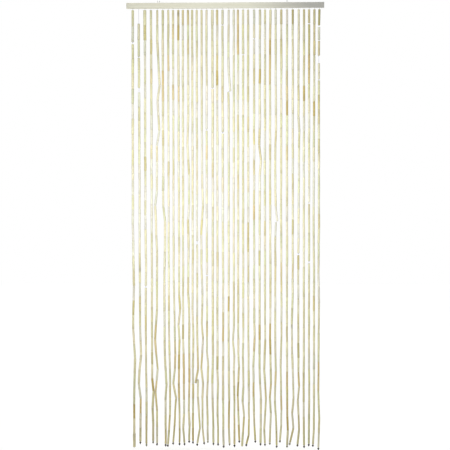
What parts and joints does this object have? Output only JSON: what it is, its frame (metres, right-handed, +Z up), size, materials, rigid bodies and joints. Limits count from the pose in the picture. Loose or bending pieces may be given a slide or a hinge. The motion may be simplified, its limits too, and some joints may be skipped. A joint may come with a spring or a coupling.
{
  "type": "bamboo bead door curtain with header rail",
  "caption": "Door curtain of bamboo tubes strung on thin cords, each with a small end bead, under a plain wooden header rail with screw eyes to hang it by.",
  "frame": {"origin": "the middle of the rail's top edge, midway through the rail's depth: the middle of the line on which the curtain hangs", "axes": "+X along the rail, to the right as one faces the curtain; -Y towards the viewer; +Z up, so the strands hang along -Z"},
  "size_m": [0.9, 0.0196, 2.0603],
  "materials": {
    "rail_wood": "plain planed softwood, pale cream, with fine straight grain along its length",
    "bamboo": "natural bamboo tubes, straw to olive with some caramel and dark brown ones, satin",
    "eye_steel": "plated steel wire, slightly dull",
    "cord": "thin off-white twisted twine that the tubes are strung on",
    "end_bead": "small turned wooden bead, stained nearly black, satin"
  },
  "bodies": {
    "root": {"header_rail": "rail_wood", "strands_left": "bamboo", "strands_right": "bamboo", "screw_eye_left": "eye_steel", "screw_eye_right": "eye_steel"}
  },
  "joints": []
}
